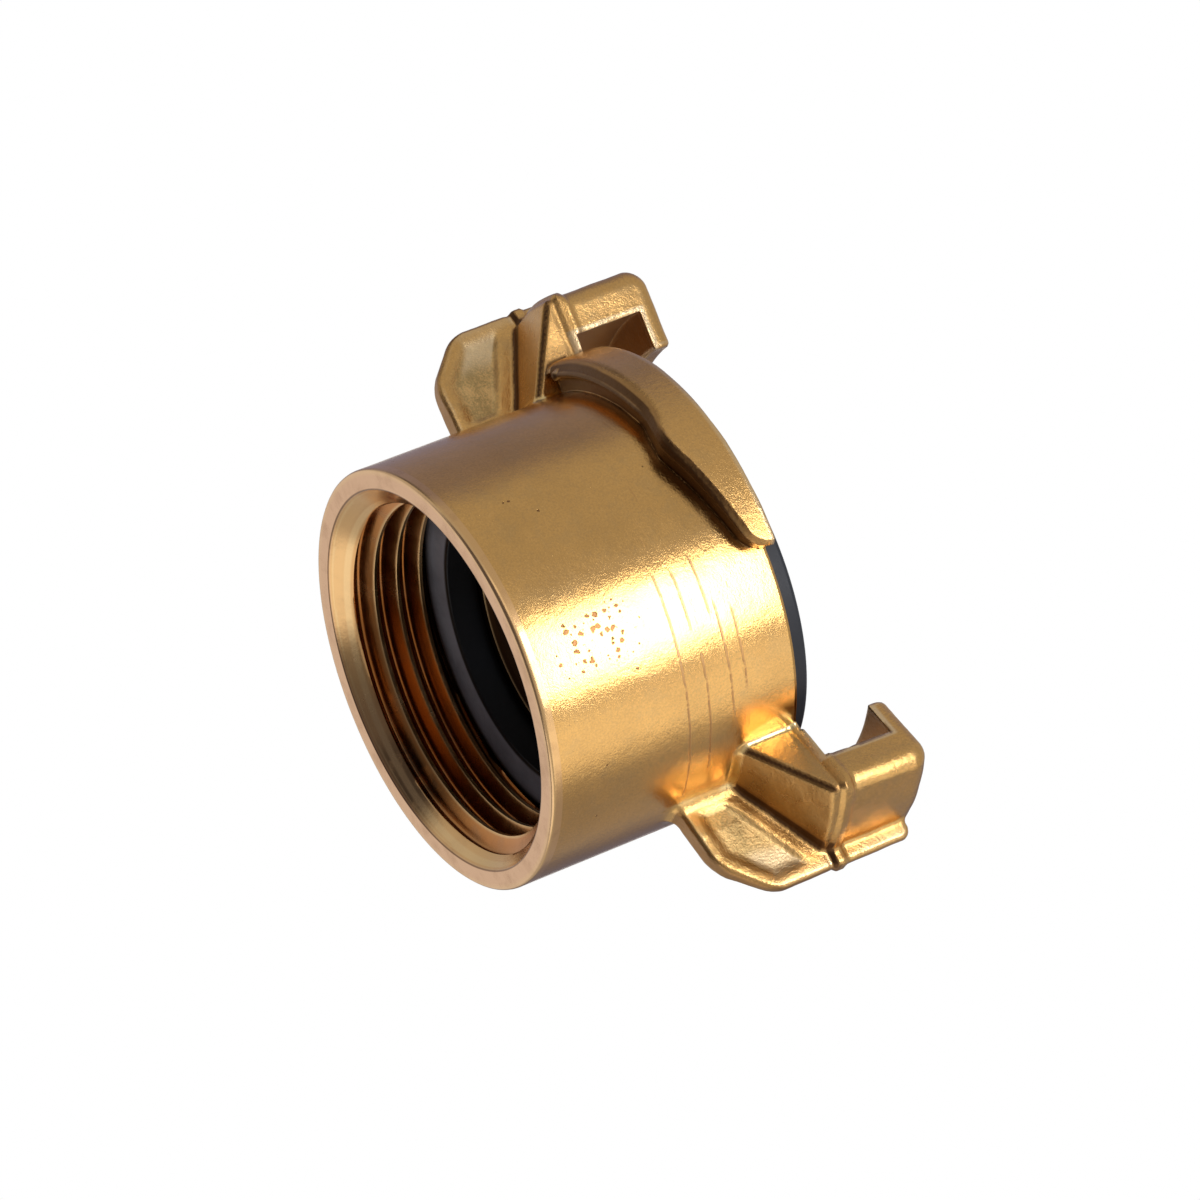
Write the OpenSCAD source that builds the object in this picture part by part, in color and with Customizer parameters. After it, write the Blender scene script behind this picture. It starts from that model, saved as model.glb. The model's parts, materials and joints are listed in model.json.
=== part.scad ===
// Twist-lock hose coupling half with an internal pipe thread.
// One brass body with two claws and two locking ramps, a face seal and a flat thread gasket.
// Millimetres. The axis is Z, the thread end face is at z = 0 and the claws point to +Z.

/* [Internal thread] */
// Radius of the thread's roots
thread_major_r = 16.65; // [16.4:0.05:16.9]
// Depth of the thread from its roots to its crests
thread_depth = 1.5; // [1.3:0.05:1.7]
// Height at which the full thread starts
thread_start_z = 1.9; // [1.4:0.1:2.6]
// Widening of the lead-in at the end face
lead_in = 0.75; // [0.4:0.05:1]

/* [Body] */
// Wall around the thread
thread_wall = 2.6; // [2.2:0.05:3.2]
// Height of the coupling face above the thread end face
face_z = 25.05; // [24:0.05:27]
// Edge break of the outer edges
edge_break = 0.3; // [0.1:0.05:0.5]

/* [Waterway] */
// Width of the shoulder inside the thread's crests
shoulder_w = 3.45; // [2.8:0.05:4.5]
// Height of the shoulder that carries the gasket
shoulder_z = 12.4; // [11.8:0.1:13.2]
// Edge break of the bore
bore_break = 0.4; // [0.2:0.05:0.6]

/* [Seal pocket] */
// Depth of the pocket below the coupling face
pocket_depth = 5.05; // [4.5:0.05:5.6]
// Wall around the undercut that holds the seal's foot
pocket_wall = 1.75; // [1.5:0.05:2.2]
// Depth of the undercut behind the pocket's mouth
undercut_w = 1; // [0.6:0.05:1.2]
// Height of the undercut
undercut_h = 2.2; // [1.6:0.1:2.6]

/* [Face seal] */
// Bare rim of the coupling face around the seal's head
seal_rim = 1.05; // [0.8:0.05:1.6]
// Height of the seal's head over the coupling face
seal_proud = 1.75; // [1:0.05:1.9]
// Width of the seal's neck
seal_w = 3.9; // [3.2:0.05:4.4]
// Free space between the seal and the brass around it
seal_gap = 0.12; // [0.05:0.01:0.2]
// Rounding of the seal's edges
seal_round = 0.5; // [0.3:0.05:0.6]

/* [Thread gasket] */
// Thickness of the flat gasket
gasket_t = 3; // [2.2:0.1:3.2]
// Width of the gasket's ring
gasket_w = 3.95; // [3.4:0.05:4.4]
// Free space around the gasket
gasket_gap = 0.2; // [0.1:0.05:0.3]

/* [Claws] */
// Angle that each claw spans around the axis
claw_angle = 38.5; // [34:0.5:42]
// Distance of the lip's tip outside the body
tip_gap = 0.7; // [0.4:0.05:1]
// Reach of the lip inwards over the slot
lip_reach = 3.7; // [3.2:0.05:4.2]
// Wall of the claw outside its slot
claw_wall = 4.25; // [3.6:0.05:4.8]
// Radius of the claws' rounded back
claw_back_r = 20.5; // [18:0.5:27]
// Height of the claws over the coupling face
claw_h = 8.85; // [8.5:0.05:9.5]
// Thickness of the hooked lip
lip_t = 2.1; // [1.8:0.1:2.6]
// Rounding of the claws' side edges
claw_round = 1.1; // [0.6:0.1:1.5]
// Rounding of the claws' front edge
claw_front_round = 1.9; // [1:0.1:2]
// Rounding of the lip's tip
tip_round = 0.35; // [0.2:0.05:0.6]
// Depth of the gusset's foot below the coupling face
gusset_drop = 6.05; // [5:0.05:7]
// Rise of the gusset for each millimetre outwards
gusset_slope = 0.56; // [0.45:0.01:0.65]

/* [Parting bead] */
// Width of the forging's parting bead
bead_w = 1.6; // [1:0.1:2]
// Height that the bead stands over the claw
bead_h = 0.35; // [0.2:0.05:0.5]

/* [Grip fins] */
// Thickness of a grip fin
fin_t = 2.2; // [1.8:0.1:2.8]
// Height that a fin stands over the claw's back
fin_proud = 1.6; // [1:0.1:2.4]
// Depth of a fin's foot below the coupling face
fin_drop = 11.45; // [10:0.05:13]
// Distance of a fin's front end behind the claw's front face
fin_front = 1.5; // [1:0.1:2.5]
// Width of the fin's slanted shoulder
fin_bevel = 4; // [3:0.1:5]
// Depth of the recessed panel on each side of a fin
panel_depth = 0.3; // [0.15:0.05:0.5]
// Width of the rim around the panel
panel_rim = 1.15; // [0.8:0.05:1.4]
// Radius of the fillet between fin and body
fin_fillet = 1.3; // [0.8:0.1:1.8]

/* [Locking ramps] */
// Height that the ramps stand out from the body where they are thickest
ramp_proud = 2.85; // [2.2:0.05:3.2]
// Distance that the ramps' rounded back lies off the axis
ramp_offset = 1.05; // [0:0.05:1.5]
// Angle at which the ramps are thickest, from the claw's middle
ramp_thick_angle = 40; // [30:1:60]
// Angle from a claw's middle to the end of its ramp
ramp_end = 109.5; // [104:0.5:116]
// Angle that a ramp reaches into its claw
ramp_overlap = 5; // [2:0.5:8]
// Thickness of a ramp at its locked seat, along the axis
ramp_t = 4.25; // [3.8:0.05:4.6]
// Drop from the locked seat to the tightest point
seat_drop = 0.75; // [0.4:0.05:1]
// Climb of the ramp from the tightest point to its nose
ramp_climb = 2.4; // [1.8:0.1:3]
// Angle of the ramp's tightest point from the claw's middle
tight_angle = 78; // [72:1:84]
// Chamfer on the ramp's back edge
ramp_chamfer = 0.7; // [0.3:0.05:1]

/* [Hidden] */
$fn = 96;
// Radii, each from the one inside it or outside it
body_r = thread_major_r + thread_wall;
thread_minor_r = thread_major_r - thread_depth;
relief_r = thread_major_r + 0.3;
bore_r = thread_minor_r - shoulder_w;
undercut_r = body_r - pocket_wall;
pocket_r = undercut_r - undercut_w;
lip_tip_r = body_r + tip_gap;
slot_r = lip_tip_r + lip_reach;
claw_r = slot_r + claw_wall;
fin_r = claw_r + fin_proud;
ramp_r = body_r + ramp_proud;
// Inner end of what is added to the body, safely inside its wall and outside the seal's undercut
root_r = body_r - pocket_wall / 2;
// Heights, each from the face or shoulder that carries it
relief_z = shoulder_z - gasket_t - gasket_gap;
thread_end_z = relief_z - 0.3;
pocket_z = face_z - pocket_depth;
claw_top_z = face_z + claw_h;
lip_z = claw_top_z - lip_t;
gusset_z = face_z - gusset_drop;
bead_z = face_z - 0.55 * bead_w;
fin_start_z = face_z - fin_drop;
fin_top_z = claw_top_z - fin_front;
seat_z = face_z - ramp_t;
// Angles from the claw's middle
half_claw = claw_angle / 2;
ramp_start = half_claw - ramp_overlap;
nose_angle = 5.5;

// Arc of points around c, from angle a to angle b
function arc(c, r, a, b, n = 6) = [for (i = [0:n]) c + r * [cos(a + (b - a) * i / n), sin(a + (b - a) * i / n)]];
// Height of the gusset's thread side at radius r
function gusset_at(r) = gusset_z + gusset_slope * (r - body_r);
// Smooth step from 0 to 1
function ease(t) = let (c = min(max(t, 0), 1)) c * c * (3 - 2 * c);
// Height of the ramp's back at angle t from the claw's middle
function ramp_z(t) =
    let (nose = ramp_end - nose_angle)
    t < tight_angle ? seat_z - seat_drop * ease((t - (tight_angle - 14)) / 14)
    : t < nose ? seat_z - seat_drop + ramp_climb * (t - tight_angle) / (nose - tight_angle)
    : let (s = (t - nose) / nose_angle, z0 = seat_z - seat_drop + ramp_climb)
      z0 + (face_z - z0) * (1 - sqrt(max(0, 1 - s * s)));

// Outer radius of a ramp at angle t from the claw's middle
function ramp_edge(t) = ramp_r - ramp_offset * (1 - cos(t - ramp_thick_angle));

// Both claws' share of a feature that is made once at +X
module both() {
    for (a = [0, 180]) rotate([0, 0, a]) children();
}

// Plain collar of the forging, before it is bored
module collar() {
    rotate_extrude() polygon([
        [0, 0], [body_r - edge_break, 0], [body_r, edge_break], [body_r, face_z - edge_break],
        [body_r - edge_break - 1, face_z + 1], [0, face_z + 1]
    ]);
}

// Everything that is turned away: thread bore, waterway, seal pocket, coupling face and claw slots
module turning() {
    q = tip_round;
    lead_z = 0.7 * (thread_start_z - thread_depth);
    rotate_extrude() polygon(concat(
        [[0, -1], [thread_major_r + 2 * lead_in, -1], [thread_major_r + lead_in, 0], [thread_major_r, lead_z],
         [thread_minor_r, thread_start_z], [thread_minor_r, thread_end_z],
         [relief_r, relief_z], [relief_r, shoulder_z],
         [bore_r + bore_break, shoulder_z], [bore_r, shoulder_z + bore_break],
         [bore_r, pocket_z - bore_break], [bore_r + bore_break, pocket_z], [undercut_r, pocket_z],
         [undercut_r, pocket_z + undercut_h], [pocket_r, pocket_z + undercut_h],
         [pocket_r, face_z - edge_break], [pocket_r + edge_break, face_z],
         [slot_r, face_z], [slot_r, lip_z], [lip_tip_r, lip_z]],
        arc([lip_tip_r + q, claw_top_z - q], q, 180, 90),
        [[lip_tip_r + q, claw_top_z + 1], [0, claw_top_z + 1]]
    ));
}

// Plan of a claw with a rounded back and rounded corners, grown all round by g
module claw_plan(g = 0) {
    e = claw_r - claw_back_r;
    a = half_claw + asin(g / claw_r);
    // Middle of the corner's circle, as far from the side as from just outside the back's circle
    k = claw_back_r + g + 0.03 - claw_round;
    h = claw_round - e * sin(a);
    c = [e, 0] + k * [cos(a - asin(h / k)), sin(a - asin(h / k))];
    intersection() {
        translate([e, 0]) circle(claw_back_r + g);
        polygon(concat(
            [root_r * [cos(a), -sin(a)]],
            [for (p = arc(c, claw_round, a + 90, a - asin(h / k), 5)) [p[0], -p[1]]],
            [[1.2 * c[0], -1.2 * c[1]], 1.2 * c],
            arc(c, claw_round, a - asin(h / k), a + 90, 5),
            [root_r * [cos(a), sin(a)], [0.8 * root_r, 0]]
        ));
    }
}

// Turned block of a claw with its gusset towards the thread
module claw_block() {
    q = claw_front_round;
    r = claw_r + 0.05;
    intersection() {
        rotate([0, 0, -half_claw - 5]) rotate_extrude(angle = claw_angle + 10) polygon(concat(
            [[root_r, gusset_at(root_r)], [r, gusset_at(r)]],
            arc([r - q, claw_top_z - q], q, 0, 90),
            [[root_r, claw_top_z]]
        ));
        translate([0, 0, gusset_z - 5]) linear_extrude(claw_top_z) claw_plan();
    }
}

// Parting bead around the claw and its fin at the height of the coupling face
module claw_bead() {
    c = bead_w / 4;
    for (g = [[bead_h / 2, 0], [bead_h, c]]) translate([0, 0, bead_z + g[1]]) linear_extrude(bead_w - 2 * g[1]) {
        claw_plan(g[0]);
        translate([root_r, -fin_t / 2 - g[0] / 2]) square([fin_r + g[0] / 2 - root_r, fin_t + g[0]]);
    }
}

// Outline of a grip fin in radius and height, moved inwards by g
module fin_outline(g = 0) {
    knee_r = fin_r - fin_bevel;
    knee_z = fin_start_z + 0.6;
    bevel_z = knee_z + fin_bevel;
    m = g * (sqrt(2) - 1);
    q = claw_round;
    polygon(concat(
        [[root_r, fin_start_z + g], [knee_r - 1 - m, knee_z + g], [knee_r + 0.5 - m, knee_z + 0.5 + g],
         [fin_r - 0.6 - g, bevel_z - 0.6 + m]],
        arc([fin_r - g - q, bevel_z + q / 2 + m], q, -30, 0, 3),
        arc([fin_r - g - q, fin_top_z - g - q], q, 0, 60, 4),
        [[fin_r - 2, fin_top_z - g], [root_r, fin_top_z - g]]
    ));
}

// Radial grip fin with a recessed panel on each side
module grip_fin() {
    back = gusset_at(0) - 1.8;
    difference() {
        rotate([90, 0, 0]) linear_extrude(fin_t, center = true) fin_outline();
        for (s = [-1, 1]) translate([0, s * (fin_t - panel_depth), 0])
            rotate([90, 0, 0]) linear_extrude(fin_t, center = true) intersection() {
                fin_outline(panel_rim);
                polygon([[body_r + panel_rim, 0], [fin_r, 0], [fin_r, back + gusset_slope * fin_r],
                    [body_r + panel_rim, back + gusset_slope * (body_r + panel_rim)]]);
            }
    }
}

// Concave fillet on both sides of a fin where it grows out of the body
module fin_root() {
    z1 = gusset_at(body_r + fin_fillet);
    q = fin_fillet;
    w = fin_t / 2 + q;
    intersection() {
        translate([0, 0, fin_start_z + 0.3]) linear_extrude(z1 - fin_start_z) difference() {
            translate([root_r, -w]) square([body_r - root_r + q, 2 * w]);
            for (s = [-1, 1]) translate([body_r + q, s * w]) circle(q);
        }
        rotate([90, 0, 0]) linear_extrude(4 * w, center = true) fin_outline();
    }
}

// Ring segment whose back follows the locking curve
module locking_ramp() {
    n = 44;
    reach = ramp_r + 2;
    step = (ramp_end - ramp_start) / n;
    rows = [for (i = [0:n]) let (t = ramp_start + i * step, z = ramp_z(t), r = ramp_edge(t)) [
        [root_r - 0.5, z, t], [r - ramp_chamfer, z, t], [reach, z + reach - r + ramp_chamfer, t],
        [reach, face_z + 6, t], [root_r - 0.5, face_z + 6, t]
    ]];
    pts = [for (r = rows) for (p = r) [p[0] * cos(p[2]), p[0] * sin(p[2]), p[1]]];
    intersection() {
        rotate([0, 0, ramp_start + 0.5]) rotate_extrude(angle = ramp_end - ramp_start - 1)
            translate([root_r, seat_z - 4]) square([ramp_r + 1 - root_r, face_z - seat_z + 5]);
        rotate([0, 0, ramp_thick_angle]) translate([ramp_offset, 0, seat_z - 4])
            cylinder(r = ramp_r - ramp_offset, h = face_z - seat_z + 5);
        polyhedron(pts, concat(
            [[4, 3, 2, 1, 0]],
            [for (i = [0:n - 1]) for (k = [0:4]) let (a = 5 * i + k, b = 5 * i + (k + 1) % 5) [a, b, b + 5]],
            [for (i = [0:n - 1]) for (k = [0:4]) let (a = 5 * i + k, b = 5 * i + (k + 1) % 5) [a, b + 5, a + 5]],
            [[for (k = [0:4]) 5 * n + k]]
        ));
    }
}

// Brass body: one forging, then turned in one setting
module body() {
    color("goldenrod") difference() {
        union() {
            collar();
            both() {
                claw_block();
                claw_bead();
                grip_fin();
                fin_root();
                locking_ramp();
            }
        }
        turning();
    }
}

// Moulded ring with a head on the coupling face and a foot in the undercut
module face_seal() {
    bore = pocket_r - seal_w;
    head_r = body_r - seal_rim;
    head_z = face_z + seal_gap / 2;
    top = face_z + seal_proud;
    neck_r = pocket_r - seal_gap;
    foot_r = undercut_r - seal_gap;
    foot_z = pocket_z + undercut_h - seal_gap;
    q = seal_round;
    color("dimgray") rotate_extrude() polygon(concat(
        [[bore, pocket_z + q], [bore + q, pocket_z], [foot_r, pocket_z], [foot_r, foot_z],
         [neck_r, foot_z], [neck_r, head_z], [head_r, head_z]],
        arc([head_r - q, top - q], q, 0, 90),
        arc([bore + 1 + q, top - q], q, 90, 180),
        [[bore + 1, face_z - 1.6], [bore, face_z - 2.6]]
    ));
}

// Flat washer on the shoulder behind the thread
module thread_gasket() {
    color("black") rotate_extrude() translate([relief_r - gasket_gap - gasket_w, shoulder_z - gasket_t])
        square([gasket_w, gasket_t]);
}

body();
face_seal();
thread_gasket();
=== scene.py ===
"""Look of the twist-lock hose coupling: forged and turned brass body, face seal and thread gasket."""
import json
import math
import bpy
import numpy as np
from mathutils import Matrix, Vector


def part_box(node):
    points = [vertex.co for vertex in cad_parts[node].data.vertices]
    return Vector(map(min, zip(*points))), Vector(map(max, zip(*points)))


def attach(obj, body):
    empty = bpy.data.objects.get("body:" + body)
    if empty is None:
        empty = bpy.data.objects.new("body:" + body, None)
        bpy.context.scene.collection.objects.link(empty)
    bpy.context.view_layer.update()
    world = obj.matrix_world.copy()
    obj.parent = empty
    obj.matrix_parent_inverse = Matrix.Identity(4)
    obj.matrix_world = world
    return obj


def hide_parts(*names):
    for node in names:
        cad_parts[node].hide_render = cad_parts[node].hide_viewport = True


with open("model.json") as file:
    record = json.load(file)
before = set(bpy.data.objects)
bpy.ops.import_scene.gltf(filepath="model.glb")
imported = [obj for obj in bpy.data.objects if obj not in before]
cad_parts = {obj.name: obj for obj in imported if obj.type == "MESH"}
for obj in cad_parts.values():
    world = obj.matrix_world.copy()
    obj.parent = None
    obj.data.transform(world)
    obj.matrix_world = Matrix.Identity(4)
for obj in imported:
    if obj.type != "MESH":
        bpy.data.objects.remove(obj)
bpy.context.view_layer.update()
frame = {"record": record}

# Sizes in millimetres, the main ones from the frame
MM = 0.001
mounts = {m["name"]: m for m in frame["record"]["mounts"]}
body_low, body_high = [np.array(c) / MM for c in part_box("body")]
seal_low, seal_high = [np.array(c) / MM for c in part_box("face_seal")]
gasket_low, gasket_high = [np.array(c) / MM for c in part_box("thread_gasket")]
face_z = mounts["coupling_claws"]["pos_m"][2] / MM
thread_minor_r = mounts["pipe_thread"]["dims"]["r_mm"]
bore_r = mounts["waterway"]["dims"]["r_mm"]

# Collar and its bore
body_r = 19.25
edge_break = 0.3
end_face_r = (18.6, 18.0)
thread_major_r = thread_minor_r + 1.5
thread_pitch = 25.4 / 11
flank_angle = math.radians(27.5)
crest_flat = 0.3
lead_r = thread_major_r + 0.75
lead_z = 0.3
root_round = 0.137 * thread_pitch
relief_r = thread_major_r + 0.3
relief_z = gasket_low[2] - 0.2
shoulder_z = gasket_high[2]
bore_break = 0.4
pocket_z = seal_low[2]
pocket_r = 16.5
undercut_r = 17.5
undercut_z = pocket_z + 2.2
seal_gap = 0.12

# Claws
half_claw = math.radians(19.25)
claw_r = 27.9
claw_back_r = 20.5
claw_top_z = body_high[2]
lip_z = claw_top_z - 2.1
lip_tip_r = body_r + 0.7
slot_r = lip_tip_r + 3.7
claw_round = 1.4
claw_front_round = 1.9
claw_draft = math.radians(2.5)
claw_swell = 0.16
claw_swell_h = 0.8
gusset_z = face_z - 6.05
gusset_slope = 0.56
gusset_round = 0.4
gusset_side_round = 0.5
gusset_chamfer = 0.5
claw_fillet = 0.5

# Parting bead
bead_half = 0.85
bead_flank = 0.6
bead_h = 0.32
bead_groove = 0.05
bead_z = face_z - 0.08
groove_z = bead_z - bead_half - 0.1
bead_on_side = 0.65

# Grip fins
fin_half = 1.1
fin_draft = 0.08
fin_draft_r = 22.5
fin_foot_slope = 0.1
fin_r = body_high[0] - 0.175
fin_start_z = face_z - 11.45
fin_knee_r = fin_r - 3.5
fin_knee_z = fin_start_z + 1.1
fin_top_z = claw_top_z - 1.5
fin_round = 0.45
fin_corner = 0.9
panel_depth = 0.26
panel_rim = 0.75
fin_fillet = 1.3

# Locking ramps, angles in degrees from the claw's middle
ramp_r = body_r + 2.85
ramp_offset = 1.05
ramp_thick_angle = 40
ramp_end = 109.5
seat_z = face_z - 4.25
seat_drop = 0.75
tight_angle = 78
climb_slope = 2.4 / 26
ramp_nose = 1.9
ramp_round = 1.2
ramp_edge = 0.45
ramp_start = 25.5
ramp_late = 62
ridge_r = 20.9
ridge_h = 0.3
ridge_w = 0.3
tuck_depth = 0.25
knob_r = 0.45
hollow_place = (20.1, 20.5)
hollow_r = 1.15


def rounded_cut(a, b, radius):
    """Distance of the intersection of two shapes, its edge rounded."""
    corner = np.hypot(np.maximum(a + radius, 0), np.maximum(b + radius, 0))
    return np.minimum(np.maximum(a, b), -radius) + corner


def filleted(a, b, radius):
    """Distance of the union of two shapes, its corner filleted."""
    corner = np.hypot(np.maximum(radius - a, 0), np.maximum(radius - b, 0))
    return np.maximum(np.minimum(a, b), radius) - corner


def chamfered_cut(a, b, width):
    """Distance of the intersection of two shapes, its edge chamfered."""
    return np.maximum(np.maximum(a, b), (a + b + width) * math.sqrt(0.5))


def ease(t):
    """Smooth step from 0 to 1."""
    c = np.clip(t, 0, 1)
    return c * c * (3 - 2 * c)


def polar(radius, degrees):
    """Point at a radius and an angle round the axis."""
    a = math.radians(degrees)
    return radius * math.cos(a), radius * math.sin(a)


def gusset_roof(r, z):
    """Distance from the sloping roof of the gusset, negative on the side of the claw's top."""
    return (gusset_z + gusset_slope * (r - body_r) - z) / math.hypot(1, gusset_slope)


def claw_side(x, y):
    """Distance from the plane of the claw's side, negative inside the claw."""
    return np.abs(y) * math.cos(half_claw) - x * math.sin(half_claw)


def claw_shape(x, y, z, r, bead):
    """One hooked claw with its gusset, before the slot is turned."""
    above = ease((z - bead_z) / claw_swell_h + 0.5)
    back = np.hypot(x - (claw_r - claw_back_r), y) - claw_back_r - bead
    side = claw_side(x, y) - bead_on_side * bead
    side = side + math.tan(claw_draft) * np.maximum(z - bead_z, 0) - claw_swell * above
    gusset = gusset_roof(r, z)
    claw = rounded_cut(back, z - claw_top_z, claw_front_round)
    claw = rounded_cut(claw, side, gusset_side_round + (claw_round - gusset_side_round) * above)
    chamfer = (side + gusset + gusset_chamfer) * math.sqrt(0.5)
    return rounded_cut(rounded_cut(claw, gusset, gusset_round), chamfer, 0.1)


def fin_outline(x, z, bead):
    """Distance from the outline of the grip fin in its own plane."""
    foot = fin_start_z + fin_foot_slope * (x - body_r) - z
    bevel = (x - fin_knee_r - z + fin_knee_z) * math.sqrt(0.5)
    outline = rounded_cut(foot, bevel, fin_corner)
    outline = rounded_cut(outline, x - fin_r - bead / 2, fin_corner)
    return rounded_cut(outline, z - fin_top_z, fin_corner)


def fin_panel(x, z, outline):
    """Share of the panel's full depth, 0 on the rim and 1 in the middle."""
    roof = 1.3 - gusset_roof(x, z)
    root = body_r + panel_rim + 0.3 - x
    return ease(-(outline + panel_rim) / 1.5) * ease(-roof / 0.8) * ease(-root / 0.8)


def fin_shape(x, y, z, bead):
    """Radial grip fin with a shallow, soft-edged panel on each side."""
    outline = fin_outline(x, z, bead)
    flank = np.abs(y) - fin_half - bead + panel_depth * fin_panel(x, z, outline)
    return rounded_cut(outline, flank + fin_draft * np.maximum(x - fin_draft_r, 0), fin_round)


def ramp_height(t):
    """Height of the ramp's locking side at angle t."""
    bend = 3.0
    u = t - tight_angle
    climb = np.where(u < -bend, 0, np.where(u > bend, u, (u + bend) ** 2 / (4 * bend)))
    return seat_z - seat_drop * ease((t - tight_angle + 14) / 14) + climb_slope * climb


def ramp_shape(x, y, z, r, t):
    """Locking ramp: rounded back, locking side, blunt tail, a knob and a hollow beside the claw."""
    bx, by = polar(ramp_offset, ramp_thick_angle)
    back = np.hypot(x - bx, y - by) - (ramp_r - ramp_offset)
    late = ease((t - ramp_late) / 8)
    ridge = np.exp(-((r - ridge_r) / (ridge_w - 0.06 * late)) ** 2)
    swell = (ridge_h - 0.16 * late) * ridge * ease((t - ramp_start) / 2)
    tuck = (tuck_depth - 0.2 * late) * ease((ridge_r - 0.15 - r) / 0.5)
    step = 0.5
    slope = (ramp_height(t + step) - ramp_height(t - step)) / (2 * step * math.radians(1) * 21)
    locking = (ramp_height(t) + tuck - swell - z) / np.hypot(1, slope)
    tail = (t - ramp_end) * math.radians(1) * r
    side = rounded_cut(locking, tail, ramp_nose)
    round_edge = rounded_cut(back, side, ramp_round)
    cut_edge = rounded_cut(chamfered_cut(back, side, ramp_edge), side, 0.1)
    ramp = round_edge + (cut_edge - round_edge) * ease((t - ramp_late - 6) / 8)
    kx, ky = polar(ridge_r, ramp_start)
    knob = np.sqrt((x - kx) ** 2 + (y - ky) ** 2 + (z - seat_z + 0.05) ** 2) - knob_r
    hx, hy = polar(*hollow_place)
    flaw = hollow_r - np.sqrt((x - hx) ** 2 + (y - hy) ** 2 + (z - seat_z) ** 2)
    return filleted(rounded_cut(ramp, flaw, 0.15), knob, 0.25)


def lumps(x, y, z):
    """Slight unevenness of a forged surface."""
    a = np.sin(1.1 * x + 0.7 * y + 0.4) * np.sin(0.9 * y - 0.8 * z + 1.0)
    b = np.sin(1.9 * z + 1.3 * x) * np.sin(1.7 * y + 0.6 * x + 2.0)
    c = np.sin(3.7 * x + 2.9 * z + 0.8) * np.sin(3.1 * y - 3.3 * z) * np.sin(2.7 * x - 2.3 * y + 1.7)
    return 0.02 * a + 0.014 * b + 0.007 * c


def coupling(x, y, z):
    """Distance from the body's outer surface, negative inside the brass."""
    r = np.hypot(x, y)
    t = (np.degrees(np.arctan2(y, x)) + 60) % 180 - 60
    u = r * np.cos(np.radians(t))
    v = r * np.sin(np.radians(t))
    bead = bead_h * ease((bead_half - np.abs(z - bead_z)) / bead_flank)
    bead = bead - bead_groove * ease(1 - np.abs(z - groove_z) / 0.4)
    collar = rounded_cut(r - body_r, z - face_z, edge_break)
    forged = np.minimum(claw_shape(u, v, z, r, bead), 9)
    fin = fin_shape(u, v, z, bead)
    ramp = rounded_cut(np.maximum(ramp_shape(u, v, z, r, t), 8 - t), z - face_z, edge_break)
    uneven = lumps(x, y, z)
    solid = filleted(collar, fin + uneven, fin_fillet)
    solid = filleted(solid, forged + uneven, claw_fillet)
    solid = np.minimum(solid, ramp + 0.6 * uneven)
    slot = np.maximum(np.maximum(r - slot_r, z - lip_z), face_z - z)
    mouth = np.maximum(r - lip_tip_r, face_z - z)
    solid = rounded_cut(solid, -slot, 0.12)
    solid = rounded_cut(solid, -mouth, 0.4)
    return rounded_cut(solid, pocket_r - r, edge_break)


def gradient(shape, p, h=0.02):
    """Unit outward direction of a shape at points p."""
    g = np.empty_like(p)
    for k in range(3):
        d = np.zeros(3)
        d[k] = h
        g[:, k] = shape(*(p + d).T) - shape(*(p - d).T)
    return g / np.maximum(np.linalg.norm(g, axis=1, keepdims=True), 1e-12)


def lines(*stretches):
    """Grid lines: each stretch is its start, its end and the spacing in it."""
    out = []
    for start, end, spacing in stretches:
        out.append(np.linspace(start, end, max(1, round((end - start) / spacing)), endpoint=False))
    return np.concatenate(out + [[stretches[-1][1]]])


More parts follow.
